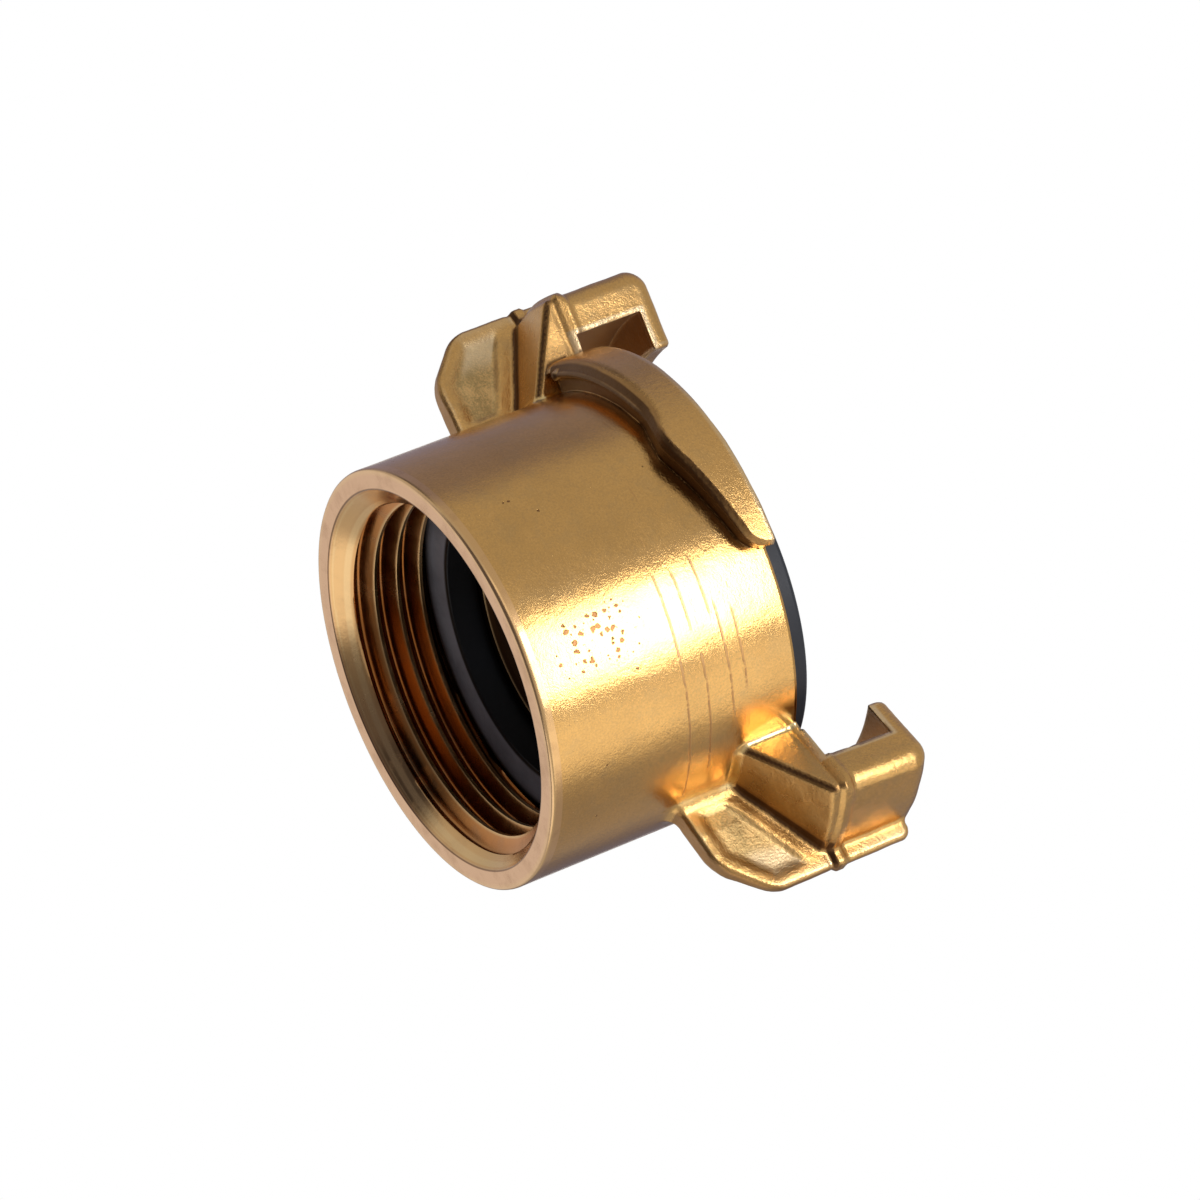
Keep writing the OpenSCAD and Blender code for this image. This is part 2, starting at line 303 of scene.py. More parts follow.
def contour(shape, rs, ts, zs, keep):
    """Quad mesh of a shape's surface on a cylindrical grid, with edges and corners kept."""
    nr, nt, nz = len(rs), len(ts), len(zs)
    R, T, Z = np.meshgrid(rs, ts, zs, indexing="ij")
    F = shape(R * np.cos(T), R * np.sin(T), Z)
    period = 2 * math.pi
    cells = np.zeros((nr - 1, nt, nz - 1), bool)
    hits = []
    for axis in range(3):
        G = np.roll(F, -1, axis)
        cross = (F < 0) != (G < 0)
        if axis == 0:
            cross[-1] = False
        if axis == 2:
            cross[:, :, -1] = False
        i, j, k = np.nonzero(cross)
        f0, f1 = F[i, j, k], G[i, j, k]
        s = f0 / (f0 - f1)
        cr, ct, cz = rs[i].copy(), ts[j].copy(), zs[k].copy()
        if axis == 0:
            cr += s * (rs[i + 1] - rs[i])
        if axis == 1:
            ct += s * ((ts[(j + 1) % nt] - ts[j]) % period)
        if axis == 2:
            cz += s * (zs[k + 1] - zs[k])
        p = np.stack([cr * np.cos(ct), cr * np.sin(ct), cz], 1)
        hits.append((i, j, k, f0 < 0, p, gradient(shape, p)))
    A = np.zeros((nr - 1, nt, nz - 1, 3, 3), np.float32)
    B = np.zeros((nr - 1, nt, nz - 1, 3), np.float32)
    S = np.zeros((nr - 1, nt, nz - 1, 3), np.float32)
    N = np.zeros((nr - 1, nt, nz - 1), np.float32)
    quads = []
    for axis, (i, j, k, inside, p, n) in enumerate(hits):
        steps = {0: [(0, -1, -1), (0, 0, -1), (0, 0, 0), (0, -1, 0)],
                 1: [(-1, 0, -1), (-1, 0, 0), (0, 0, 0), (0, 0, -1)],
                 2: [(-1, -1, 0), (0, -1, 0), (0, 0, 0), (-1, 0, 0)]}[axis]
        corner = []
        good = np.ones(len(i), bool)
        for di, dj, dk in steps:
            ci, cj, ck = i + di, (j + dj) % nt, k + dk
            ok = (ci >= 0) & (ci < nr - 1) & (ck >= 0) & (ck < nz - 1)
            ok[ok] &= keep(ci[ok], ck[ok])
            good &= ok
            at = (ci[ok], cj[ok], ck[ok])
            cells[at] = True
            nn = n[ok]
            np.add.at(A, at, nn[:, :, None] * nn[:, None, :])
            np.add.at(B, at, nn * np.sum(nn * p[ok], 1, keepdims=True))
            np.add.at(S, at, p[ok])
            np.add.at(N, at, 1)
            corner.append((ci * nt + cj) * (nz - 1) + ck)
        q = np.stack(corner, 1)[good]
        q[inside[good]] = q[inside[good]][:, ::-1]
        quads.append(q[:, ::-1])
    ci, cj, ck = np.nonzero(cells)
    mean = (S[ci, cj, ck] / N[ci, cj, ck][:, None]).astype(float)
    pull = 0.08
    a = A[ci, cj, ck].astype(float) + pull * np.eye(3)
    b = B[ci, cj, ck].astype(float) + pull * mean
    p = np.linalg.solve(a, b[:, :, None])[:, :, 0]
    near = np.linalg.norm(p - mean, axis=1) < 0.6
    p[~near] = mean[~near]
    index = np.full((nr - 1) * nt * (nz - 1), -1)
    index[(ci * nt + cj) * (nz - 1) + ck] = np.arange(len(ci))
    return p, index[np.concatenate(quads)], (ci, cj, ck)


def angular_lines():
    """Angles of the grid: close at the claws and ramps, wide where the collar is plain."""
    half = lines((-26, 26, 0.52), (26, 112, 0.86), (112, 154, 1.5))[:-1]
    return np.radians(np.concatenate([half, half + 180]))


ring_z = 1.0
rim_z = face_z - 0.9
fine_z = 12.8
fine_top_z = face_z + 1.1
rs = lines((16.07, 18.9, 0.33), (18.9, 21.5, 0.2), (21.5, 30.3, 0.27))
ts = angular_lines()
zs = lines((ring_z - 0.55, fine_z, 1.15), (fine_z, fine_top_z, 0.245), (fine_top_z, claw_top_z + 0.4, 0.26))
# Radii that part the wall of the pocket from the collar's outside
wall_r = 17.2
pocket_side_r = 17
collar_side_r = 18


def forging_mesh():
    """Outside of the body with the coupling face, down to a ring near the thread end."""
    r_mid = (rs[1:] + rs[:-1]) / 2
    z_mid = (zs[1:] + zs[:-1]) / 2

    def keep(i, k):
        return (r_mid[i] > wall_r) | (z_mid[k] > rim_z)

    return contour(coupling, rs, ts, zs, keep)


def thread_radius(w):
    """Radius of the internal thread at w, the share of a pitch from the middle of a crest."""
    x = np.abs((w + 0.5) % 1 - 0.5) * thread_pitch
    flank = thread_minor_r + (x - crest_flat / 2) / math.tan(flank_angle)
    apex = thread_minor_r + (thread_pitch / 2 - crest_flat / 2) / math.tan(flank_angle)
    centre = thread_major_r - 0.02 - root_round
    y = thread_pitch / 2 - x
    tangent = root_round * math.cos(flank_angle)
    arc = centre + np.sqrt(np.maximum(root_round ** 2 - y ** 2, 0))
    flank = np.minimum(flank, apex)
    return np.clip(np.where(y < tangent, arc, flank), thread_minor_r, thread_major_r)


def bore_rows(theta, phase):
    """Rows of the bore's surface, each a radius, a height and for every angle a value of edge wear and
    painted highlight, below 0 a dark burr line.

    Also gives the first and last row of the thread and the number of its rows in a pitch.
    """
    one = np.ones_like(theta)

    def ring(r, z, wear_and_highlight=0.0):
        return np.stack([r * one, z * one, wear_and_highlight * one])

    rows = [ring(body_r, edge_break + 0.15), ring(body_r, edge_break, 0.3)]
    for a in (30, 60, 90):
        c = math.radians(a)
        rows.append(ring(body_r - edge_break * (1 - math.cos(c)), edge_break * (1 - math.sin(c)), 0.5))
    rows += [ring(r, 0) for r in end_face_r]
    rows += [ring(lead_r + 0.14, 0), ring(lead_r + 0.05, 0, -1)]
    rows += [ring(lead_r, 0.02, -1), ring(lead_r - 0.08, 0.1, 0.3), ring(lead_r - 0.16, 0.18)]
    turn = theta / (2 * math.pi)
    half = crest_flat / 2 / thread_pitch
    marks = [-half, -half * 0.8, half * 0.8, half, 0.12, 0.18, 0.24, 0.3, 0.36, 0.43, 0.5,
             0.57, 0.64, 0.7, 0.76, 0.82, 0.88]
    start = len(rows)
    first = math.floor(lead_z / thread_pitch) - 3
    last = math.ceil(relief_z / thread_pitch) + 2
    for n in range(first, last):
        for m in marks:
            z = (n + m + turn + phase) * thread_pitch
            z = np.clip(z, lead_z, relief_z)
            w = z / thread_pitch - turn - phase
            r = thread_radius(w)
            cone = lead_r + 0.02 - z
            out = relief_r - (relief_z - z) * 5
            # Thread crest edges get full edge wear and painted highlight
            edge = abs(abs(m) - half) < 0.2 * half
            wear_and_highlight = np.where((r > np.maximum(cone, out)) | edge, 1.0 if edge else 0.0, 0.3)
            rows.append(np.stack([np.maximum(np.maximum(r, cone), out), z, wear_and_highlight]))
    thread = (start, len(rows) - 1, len(marks))
    rows += [ring(relief_r, relief_z + 0.02), ring(relief_r, shoulder_z - 0.02)]
    rows += [ring(relief_r - 0.02, shoulder_z)]
    rows += [ring(bore_r + bore_break + 0.05, shoulder_z), ring(bore_r + bore_break, shoulder_z, 0.8)]
    rows += [ring(bore_r + bore_break - 0.12, shoulder_z + 0.12), ring(bore_r, shoulder_z + bore_break)]
    rows += [ring(bore_r, shoulder_z + bore_break + 0.1)]
    rows += [ring(bore_r, pocket_z - bore_break), ring(bore_r + bore_break, pocket_z)]
    rows += [ring(undercut_r, pocket_z), ring(undercut_r, undercut_z), ring(pocket_r, undercut_z)]
    rows += [ring(pocket_r, undercut_z + 0.1)]
    return rows, thread


def face_areas(verts, faces):
    """Area vectors of faces of four corners, or of three where the last index is -1."""
    tri = faces[:, 3] < 0
    last = np.where(tri, faces[:, 2], faces[:, 3])
    a, b, c, d = verts[faces[:, 0]], verts[faces[:, 1]], verts[faces[:, 2]], verts[last]
    area = np.cross(c - a, d - b)
    area[tri] = np.cross(b[tri] - a[tri], c[tri] - a[tri])
    return area


def vertex_normals(verts, faces):
    """Area-weighted directions of the surface at its points."""
    out = np.zeros_like(verts)
    area = face_areas(verts, faces)
    for k in range(4):
        ok = faces[:, k] >= 0
        np.add.at(out, faces[ok, k], area[ok])
    return out / np.maximum(np.linalg.norm(out, axis=1, keepdims=True), 1e-12)


def turned_normals(verts, faces, sharp=0.82):
    """Corner normals of a turned surface: shared across soft edges, the face's own across sharp ones."""
    area = face_areas(verts, faces)
    size = np.linalg.norm(area, axis=1, keepdims=True)
    own = area / np.maximum(size, 1e-12)
    shared = vertex_normals(verts, faces)[faces]
    agree = np.einsum("fkc,fc->fk", shared, own) > sharp
    return np.where(agree[:, :, None] | (size < 1e-9)[:, :, None], shared, own[:, None, :])


def field_normals(shape, verts, quads, sharp=0.9):
    """Corner normals of a contoured surface, read from its shape just inside each face's corner."""
    middle = verts[quads].mean(1)[:, None, :]
    inside = verts[quads] * 0.7 + middle * 0.3
    own = gradient(shape, inside.reshape(-1, 3)).reshape(inside.shape)
    shared = np.zeros_like(verts)
    np.add.at(shared, quads, own)
    shared /= np.maximum(np.linalg.norm(shared, axis=1, keepdims=True), 1e-12)
    least = np.ones(len(verts))
    np.minimum.at(least, quads, np.einsum("fkc,fkc->fk", own, shared[quads]))
    soft = least[quads] > sharp
    return np.where(soft[:, :, None], shared[quads], own)


def make_mesh(name, verts, faces, corners=None, attributes=None, indices=None):
    """Mesh object from points in millimetres and faces of four corners, -1 where a face has three."""
    mesh = bpy.data.meshes.new(name)
    used = faces >= 0
    sizes = used.sum(1)
    mesh.vertices.add(len(verts))
    mesh.vertices.foreach_set("co", (verts * MM).astype(np.float32).ravel())
    mesh.loops.add(int(sizes.sum()))
    mesh.loops.foreach_set("vertex_index", faces[used].astype(np.int32))
    mesh.polygons.add(len(faces))
    starts = np.concatenate([[0], np.cumsum(sizes)[:-1]])
    mesh.polygons.foreach_set("loop_start", starts.astype(np.int32))
    if indices is not None:
        mesh.polygons.foreach_set("material_index", indices.astype(np.int32))
    mesh.update(calc_edges=True)
    mesh.validate()
    mesh.polygons.foreach_set("use_smooth", np.ones(len(mesh.polygons), bool))
    if corners is not None:
        mesh.normals_split_custom_set(corners[used].tolist())
    for key, values in (attributes or {}).items():
        layer = mesh.attributes.new(key, "FLOAT", "POINT")
        layer.data.foreach_set("value", values.astype(np.float32))
    obj = bpy.data.objects.new(name, mesh)
    bpy.context.scene.collection.objects.link(obj)
    return obj


def stitched(upper, lower, upper_end, lower_end):
    """Faces between two rows of point indices that run round the axis, each with the point that closes it."""
    upper_next = np.append(upper[1:], upper_end)
    lower_next = np.append(lower[1:], lower_end)
    f = np.stack([upper, lower, lower_next, upper_next], 1)
    near, far = f[:, 0] == f[:, 1], f[:, 2] == f[:, 3]
    f = f[~(near & far)]
    near, far = f[:, 0] == f[:, 1], f[:, 2] == f[:, 3]
    f[near, 1:] = np.stack([f[near, 2], f[near, 3], np.full(near.sum(), -1)], 1)
    f[far, 3] = -1
    return f


def halved(fine, coarse):
    """Faces of three corners between a row and one with every second of its points."""
    a, b, c = fine[::2], fine[1::2], np.roll(fine[::2], -1)
    d, e = coarse, np.roll(coarse, -1)
    none = np.full(len(coarse), -1)
    return np.concatenate([np.stack(f, 1) for f in ((a, d, b, none), (d, e, b, none), (e, c, b, none))])


def column_points(columns, chosen):
    """Number of the chosen point of the forging in each column of the grid."""
    found = np.full(len(ts), -1)
    found[columns[chosen]] = np.nonzero(chosen)[0]
    return found


def bore_surface(theta, phase, count):
    """Points, edge wear and painted highlight, point numbers and faces of the bore, its numbers from count
    onwards.
    """
    rows, (start, end, pitch_rows) = bore_rows(np.unwrap(theta), phase)
    verts, wear_and_highlight_rows, ids = [], [], []
    for radius, height, wear_and_highlight in rows:
        place = np.stack([radius * np.cos(theta), radius * np.sin(theta), height], 1)
        own = np.arange(count, count + len(theta))
        count += len(theta)
        if verts:
            same = np.linalg.norm(place - verts[-1], axis=1) < 1e-6
            own[same] = ids[-1][same]
        verts.append(place)
        wear_and_highlight_rows.append(wear_and_highlight)
        ids.append(own)
    # A row of the thread ends one pitch further on than it starts
    onward = [min(k + pitch_rows, end) if start <= k <= end else k for k in range(len(ids))]
    faces = []
    for k in range(len(ids) - 1):
        faces.append(stitched(ids[k], ids[k + 1], ids[onward[k]][0], ids[onward[k + 1]][0]))
    return np.concatenate(verts), np.concatenate(wear_and_highlight_rows), ids, np.concatenate(faces)


def painted_shade_masks(across, out, up, radial, outward):
    """Painted shade on the claws' hidden sides, fin rims and chamfers, under the ramps and in the claws'
    slots, and the points inside the claws' slots.
    """
    down, sideways = -outward[:, 2], np.abs(outward[:, 1])
    side, roof = claw_side(out, across), gusset_roof(radial, up)
    slotted = (radial < slot_r + 0.15) & (radial > lip_tip_r - 0.3)
    slotted &= (up > face_z + 0.2) & (up < lip_z + 0.15) & (np.abs(side) > 0.15)
    on_claw = across < out * math.tan(math.radians(22))
    on_ramp = ~on_claw & (radial > body_r + 0.05) & (up > seat_z - 2)
    below = on_claw & (up < bead_z) & (radial > body_r + 0.5)
    beside_fin = below & (across > fin_half + 1)
    # Each mask below is painted shade, chosen by where a face points or where it sits.
    rim = 0.75 * ease((0.85 - sideways) / 0.35) * (below & (across < fin_half + 0.25))
    under = 0.95 * ease((down - 0.45) / 0.3) * on_ramp
    shoulder = 0.55 * ease((down - 0.2) / 0.3) * (on_ramp & (radial > body_r + 1))
    band = ease(np.minimum(-side, -roof) / 0.16) * ease(1.6 - np.abs(side + roof + gusset_chamfer) / 0.3)
    bevel = 0.9 * band * beside_fin
    ceiling = 0.3 * ease((down - 0.6) / 0.2) * (below & (up > gusset_z - 0.5))
    cheek = 0.25 * ease((sideways - 0.6) / 0.2) * beside_fin
    corner = ease((fin_half + 1.7 - across) / 1.1) * ease((down - 0.25) / 0.3) * (below & (up > gusset_z))
    return np.max([0.7 * slotted, rim, under, shoulder, bevel, ceiling, cheek, corner], 0), slotted


def body_looks(verts, forging, quads, facing, wear_and_highlight):
    """Values at the body's points that steer its materials; the first points are the forging's."""
    count = len(forging)
    looks = {key: np.zeros(len(verts)) for key in ("crease", "edge", "hollow", "forged", "painted_shade", "panel")}
    for key, reach in (("crease", 0.8), ("edge", -0.7), ("hollow", 2.6)):
        away = (verts[quads] + reach * facing).reshape(-1, 3)
        share = np.clip(1 - coupling(*away.T) / reach, 0, 1)
        np.maximum.at(looks[key], quads.ravel(), share)
    across, out, up = np.abs(forging[:, 1]), np.abs(forging[:, 0]), forging[:, 2]
    radial = np.hypot(forging[:, 0], forging[:, 1])
    # Painted shade of the claws and ramps, and the points in the slots
    painted_shade, slotted = painted_shade_masks(across, out, up, radial, gradient(coupling, forging))
    seam = ease(1.5 - np.abs(up - groove_z) / 0.5) * (across > fin_half + 1)
    looks["crease"][:count] *= (1 - slotted) * (1 - 0.75 * seam)
    looks["hollow"][:count] *= ease((37 - np.degrees(np.arctan2(across, out))) / 6)
    looks["forged"][:count] = ease((radial - body_r - 0.1) / 0.6)
    looks["painted_shade"][:count] = painted_shade
    looks["panel"][:count] = fin_panel(out, up, fin_outline(out, up, 0)) * (across < fin_half + 0.2)
    radius = np.hypot(verts[count:, 0], verts[count:, 1])
    looks["crease"][count:] = np.maximum(-wear_and_highlight, 0)
    looks["edge"][count:] = np.maximum(wear_and_highlight, 0)
    looks["hollow"][count:] = np.clip((radius - thread_minor_r) / (thread_major_r - thread_minor_r), 0, 1)
    return looks


def build_body(phase):
    """Whole brass body: forging and coupling face from the distance field, bore from its rows."""
    forging, quads, (ci, cj, ck) = forging_mesh()
    low = column_points(cj, (ck == 0) & (rs[ci] > collar_side_r))
    rim_k = ck[rs[ci] < pocket_side_r].min()
    top = column_points(cj, (ck == rim_k) & (rs[ci] < pocket_side_r))
    theta = np.arctan2(forging[low, 1], forging[low, 0])[::2]
    bore, wear_and_highlight, ids, bore_faces = bore_surface(theta, phase, len(forging))
    bore_faces = np.concatenate([halved(low, ids[0]), halved(top, ids[-1])[:, [1, 0, 2, 3]], bore_faces])
    verts = np.clip(np.concatenate([forging, bore]), body_low, body_high)
    facing = field_normals(coupling, verts, quads)
    corners = np.concatenate([facing, turned_normals(verts, bore_faces)])
    looks = body_looks(verts, forging, quads, facing, wear_and_highlight)
    faces = np.concatenate([quads, bore_faces])
    turned = np.arange(len(faces)) >= len(quads)
    kept = np.unique(faces[faces >= 0])
    renumber = np.full(len(verts), -1)
    renumber[kept] = np.arange(len(kept))
    faces = np.where(faces >= 0, renumber[faces], -1)
    looks = {key: values[kept] for key, values in looks.items()}
    return make_mesh("coupling_body", verts[kept], faces, corners, looks, turned)


# Camera
camera_place = (188.9, -517.0, -244.7)
camera_right = (0.48040, -0.25022, 0.84060)
camera_up = (-0.81980, -0.46873, 0.32898)
camera_ahead = (-0.31170, 0.84716, 0.43030)


def add_camera():
    """Camera below and in front of the thread end, as in the photograph."""
    data = bpy.data.cameras.new("camera")
    data.lens = 210
    data.sensor_width = 36
    data.clip_start = 0.01
    data.clip_end = 10
    cam = bpy.data.objects.new("camera", data)
    back = [-c for c in camera_ahead]
    turn = Matrix((camera_right, camera_up, back)).transposed().to_4x4()
    cam.matrix_world = Matrix.Translation([c * MM for c in camera_place]) @ turn
    bpy.context.scene.collection.objects.link(cam)
    bpy.context.scene.camera = cam


def nodes_of(material):
    """Cleared node tree of a material."""
    material.use_nodes = True
    tree = material.node_tree
    tree.nodes.clear()
    return tree


class Graph:
    """Short way to add the nodes of a material and to join them."""

    def __init__(self, tree):
        self.tree = tree

    def add(self, kind, values=None, **settings):
        """Node of a kind with its settings, and its sockets set to values or joined to other nodes."""
        node = self.tree.nodes.new(kind)
        for key, value in settings.items():
            setattr(node, key, value)
        for key, value in (values or {}).items():
            if hasattr(value, "is_output"):
                self.tree.links.new(value, node.inputs[key])
            else:
                node.inputs[key].default_value = value
        return node

    def math(self, operation, a, b=0.0, third=0.0, clamp=False):
        values = {0: a, 1: b, 2: third}
        return self.add("ShaderNodeMath", values, operation=operation, use_clamp=clamp).outputs[0]

    def times(self, first, *others):
        """Product of values."""
        for other in others:
            first = self.math("MULTIPLY", first, other)
        return first

    def plus(self, first, *others):
        """Sum of values."""
        for other in others:
            first = self.math("ADD", first, other)
        return first

    def most(self, a, b):
        """The larger of two values."""
        return self.math("MAXIMUM", a, b)

    def step(self, value, low, high, to_low=0.0, to_high=1.0):
        """Smooth step between two values."""
        values = {"Value": value, "From Min": low, "From Max": high, "To Min": to_low, "To Max": to_high}
        return self.add("ShaderNodeMapRange", values, interpolation_type="SMOOTHSTEP").outputs["Result"]

    def fade(self, value, low, high):
        """Smooth step from 1 down to 0."""
        return self.step(value, low, high, 1.0, 0.0)

    def mix(self, factor, a, b):
        """Colour between a and b."""
        return self.add("ShaderNodeMix", {0: factor, 6: a, 7: b}, data_type="RGBA").outputs[2]

    def tint(self, colour, mask, share, tone):
        """Colour with a share of another tone where the mask is 1."""
        return self.mix(self.times(mask, share), colour, tone)

    def vector(self, x, y, z=0.0):
        return self.add("ShaderNodeCombineXYZ", {0: x, 1: y, 2: z}).outputs[0]

    def noise(self, vector, scale, detail=4.0, rough=0.55):
        values = {"Vector": vector, "Scale": scale, "Detail": detail, "Roughness": rough}
        return self.add("ShaderNodeTexNoise", values).outputs["Fac"]

    def attribute(self, name):
        return self.add("ShaderNodeAttribute", attribute_name=name).outputs["Fac"]

    def surface(self, colour, rough, skin, depth, strength=1.0, metallic=1.0, specular=0.5):
        """Ends the material with a surface whose skin is a relief of the given depth."""
        bump = self.add("ShaderNodeBump", {"Strength": strength, "Distance": depth, "Height": skin})
        values = {"Base Color": colour, "Roughness": rough, "Normal": bump.outputs[0]}
        values.update({"Metallic": metallic, "Specular IOR Level": specular})
        shader = self.add("ShaderNodeBsdfPrincipled", values)
        out = self.add("ShaderNodeOutputMaterial")
        self.tree.links.new(shader.outputs[0], out.inputs[0])


def around(g):
    """Place on the object in metres, with its angle in radians and its height."""
    place = g.add("ShaderNodeTexCoord").outputs["Object"]
    x, y, height = g.add("ShaderNodeSeparateXYZ", {0: place}).outputs
    return place, g.math("ARCTAN2", y, x), height


def radius_of(g, place):
    """Distance of a place from the axis."""
    x, y, _ = g.add("ShaderNodeSeparateXYZ", {0: place}).outputs
    return g.add("ShaderNodeVectorMath", {0: g.vector(x, y)}, operation="LENGTH").outputs["Value"]


# Scratches turned into the collar: height, first and last angle in degrees
scratches = [
    (13.9, 285, 352),
    (15.65, 286, 302),
    (16.0, 308, 344),
    (17.75, 284, 300),
    (18.4, 297, 328),
    (19.9, 300, 322),
]
# Middle of the cluster of pits: angle in degrees and height
pit_place = (294.5, 6.6)


def scratched(g, angle, turn, height, plain):
    """Mask of the scratches on the plain collar, a few long ones and many faint ones."""
    wobble = g.times(g.math("SUBTRACT", g.noise(angle, 7, 3), 0.5), 0.00022)
    lifted = g.plus(height, wobble)
    marks = 0.0
    for z, first, last in scratches:
        off = g.math("ABSOLUTE", g.math("SUBTRACT", lifted, z * MM))
        span = g.times(g.step(turn, first - 1.5, first + 1.5), g.fade(turn, last - 2, last + 2))
        marks = g.most(marks, g.times(g.fade(off, 0.00003, 0.00015), span))
    band = g.times(g.step(height, 0.0128, 0.0138), g.fade(height, 0.0200, 0.0212))
    loose = g.vector(g.times(angle, 5), g.times(height, 2600))
    faint = g.times(g.step(g.noise(loose, 1.0, 2), 0.66, 0.74), band)
    marks = g.times(g.most(marks, g.times(faint, 0.4)), plain)
    faded = g.step(g.noise(g.times(angle, 14), 1.0, 2), 0.3, 0.5)
    return g.times(marks, g.math("MULTIPLY_ADD", faded, 0.6, 0.4))


def pitted(g, place, turn, height, grain, plain):
    """Mask of the pits in the plain collar, most of them in one cluster."""
    across = g.times(g.math("SUBTRACT", turn, pit_place[0]), math.radians(body_r) * MM)
    along = g.times(g.math("SUBTRACT", height, pit_place[1] * MM), 0.6)
    reach = g.math("SQRT", g.plus(g.times(across, across), g.times(along, along)))
    cluster = g.fade(reach, 0.0012, 0.0042)
    moved = g.add("ShaderNodeVectorMath", {0: place, 1: (0.0003, 0, 0)}).outputs[0]
    cell = g.add("ShaderNodeTexVoronoi", {"Vector": moved, "Scale": 1800.0, "Randomness": 1.0})
    pick = g.add("ShaderNodeSeparateColor", {0: cell.outputs["Color"]})
    size = g.times(g.step(pick.outputs[0], 0.2, 1.0, 0.0, 0.62), cluster)
    few = g.step(pick.outputs[1], 0.97, 1.0, 0.0, 0.3)
    ragged = g.plus(cell.outputs["Distance"], g.times(g.math("SUBTRACT", grain, 0.5), 0.7))
    return g.times(g.step(g.math("SUBTRACT", g.most(size, few), ragged), 0.0, 0.1), plain)


def brass_forged():
    """Forged and smoothed brass: clear metal on the collar, grain on claws, tarnish and painted shade in the
    corners, painted shade on hidden sides, painted highlights on edges and a painted glow beside the claws'
    roots.
    """
    material = bpy.data.materials.new("brass_forged")
    g = Graph(nodes_of(material))
    clean = (0.84, 0.48, 0.155, 1)
    dull = (0.74, 0.425, 0.14, 1)
    sand = (0.60, 0.37, 0.16, 1)
    umber = (0.40, 0.22, 0.10, 1)
    painted_root_glow = (0.98, 0.78, 0.39, 1)
    grainy = (0.56, 0.35, 0.15, 1)
    stained = (0.64, 0.41, 0.17, 1)
    light = (0.95, 0.62, 0.28, 1)
    panel_light = (0.88, 0.58, 0.24, 1)
    panel_dark = (0.50, 0.34, 0.14, 1)
    rubbed_and_sheen = (1.0, 0.78, 0.48, 1)
    painted_shade_brown = (0.27, 0.125, 0.05, 1)
    painted_shade_black = (0.05, 0.025, 0.015, 1)
    tarnish_and_shade_brown = (0.13, 0.06, 0.025, 1)
    wine = (0.42, 0.20, 0.10, 1)
    pit_brown = (0.17, 0.06, 0.03, 1)

    place, angle, height = around(g)
    turn = g.math("MODULO", g.plus(g.times(angle, 180 / math.pi), 360), 360)
    crease, edge, hollow = g.attribute("crease"), g.attribute("edge"), g.attribute("hollow")
    forged, painted_shade, panel = g.attribute("forged"), g.attribute("painted_shade"), g.attribute("panel")
    plain = g.math("SUBTRACT", 1.0, forged)
    patches = g.noise(place, 140, 5)
    stains = g.noise(place, 420, 6, 0.65)
    mottle = g.noise(place, 1700, 4, 0.6)
    grain = g.noise(place, 5200, 4, 0.65)
    waves = g.noise(place, 330, 2, 0.5)
    lathe = g.noise(g.vector(g.times(angle, 1.6), g.times(height, 5200)), 1.0, 3, 0.6)

    colour = g.mix(g.step(patches, 0.38, 0.7), clean, dull)
    colour = g.tint(colour, g.step(mottle, 0.5, 0.78), 0.25, sand)
    # Tarnish and painted shade: close corners near the claws' roots are painted darker umber where stains
    # fall.
    near_root = g.times(g.step(hollow, 0.25, 0.8), g.step(stains, 0.42, 0.6))
    colour = g.tint(colour, near_root, 0.25, umber)
    # Painted glow: beside the claws' roots the collar is painted pale gold, in place of the claws' bright
    # reflection there.
    painted_root_glow_mask = g.times(g.step(hollow, 0.04, 0.3), plain, g.step(height, 0.0128, 0.0142))
    colour = g.tint(colour, painted_root_glow_mask, 0.85, painted_root_glow)
    colour = g.tint(colour, g.step(grain, 0.42, 0.7), 0.45, grainy)
    colour = g.tint(colour, g.step(stains, 0.48, 0.66), 0.3, stained)
    colour = g.tint(colour, g.step(grain, 0.5, 0.3), 0.2, light)
    coarse = g.step(g.plus(g.times(grain, 0.45), g.times(stains, 0.55)), 0.4, 0.62)
    colour = g.mix(panel, colour, g.mix(coarse, panel_light, panel_dark))
    # Edge wear and painted highlight: the forging's convex edges are painted pale cream.
    colour = g.tint(colour, g.times(g.step(edge, 0.12, 0.55), forged), 0.65, rubbed_and_sheen)
    # Painted shade: the claws' undersides, slots, fin rims and chamfers and the ramps' undersides are painted
    # dark brown, the darkest almost black.
    colour = g.tint(colour, painted_shade, 0.85, painted_shade_brown)
    colour = g.tint(colour, g.step(painted_shade, 0.7, 0.95), 0.65, painted_shade_black)
    # Tarnish and painted shade: concave creases are painted brown, broken up by stains.
    tarnish_and_shade = g.times(g.step(crease, 0.4, 0.9), g.step(stains, 0.2, 0.55, 0.5, 1.0))
    colour = g.tint(colour, tarnish_and_shade, 0.85, tarnish_and_shade_brown)
    marks = scratched(g, angle, turn, height, plain)
    colour = g.tint(colour, marks, 0.6, wine)
    pits = pitted(g, place, turn, height, grain, plain)
    colour = g.tint(colour, pits, 0.78, pit_brown)

    rough = g.plus(g.step(g.noise(place, 300, 4), 0.3, 0.7, 0.12, 0.19),
                   g.times(g.most(g.times(forged, 0.35), panel), 0.22),
                   g.times(g.most(tarnish_and_shade, painted_shade), 0.16))
    rough = g.math("ADD", rough, g.times(g.most(pits, marks), 0.2), clamp=True)
    skin = g.plus(g.times(mottle, g.math("MULTIPLY_ADD", forged, 0.3, 0.12)),
                  g.times(grain, g.math("MULTIPLY_ADD", forged, 0.22, 0.2)),
                  g.times(lathe, plain, 0.05),
                  g.times(stains, 0.2),
                  g.times(grain, panel, 0.22),
                  g.times(waves, g.math("MULTIPLY_ADD", forged, -0.2, 0.5)),
                  g.times(marks, -0.12),
                  g.times(pits, -0.25))
    g.surface(colour, rough, skin, 0.00008)
    return material


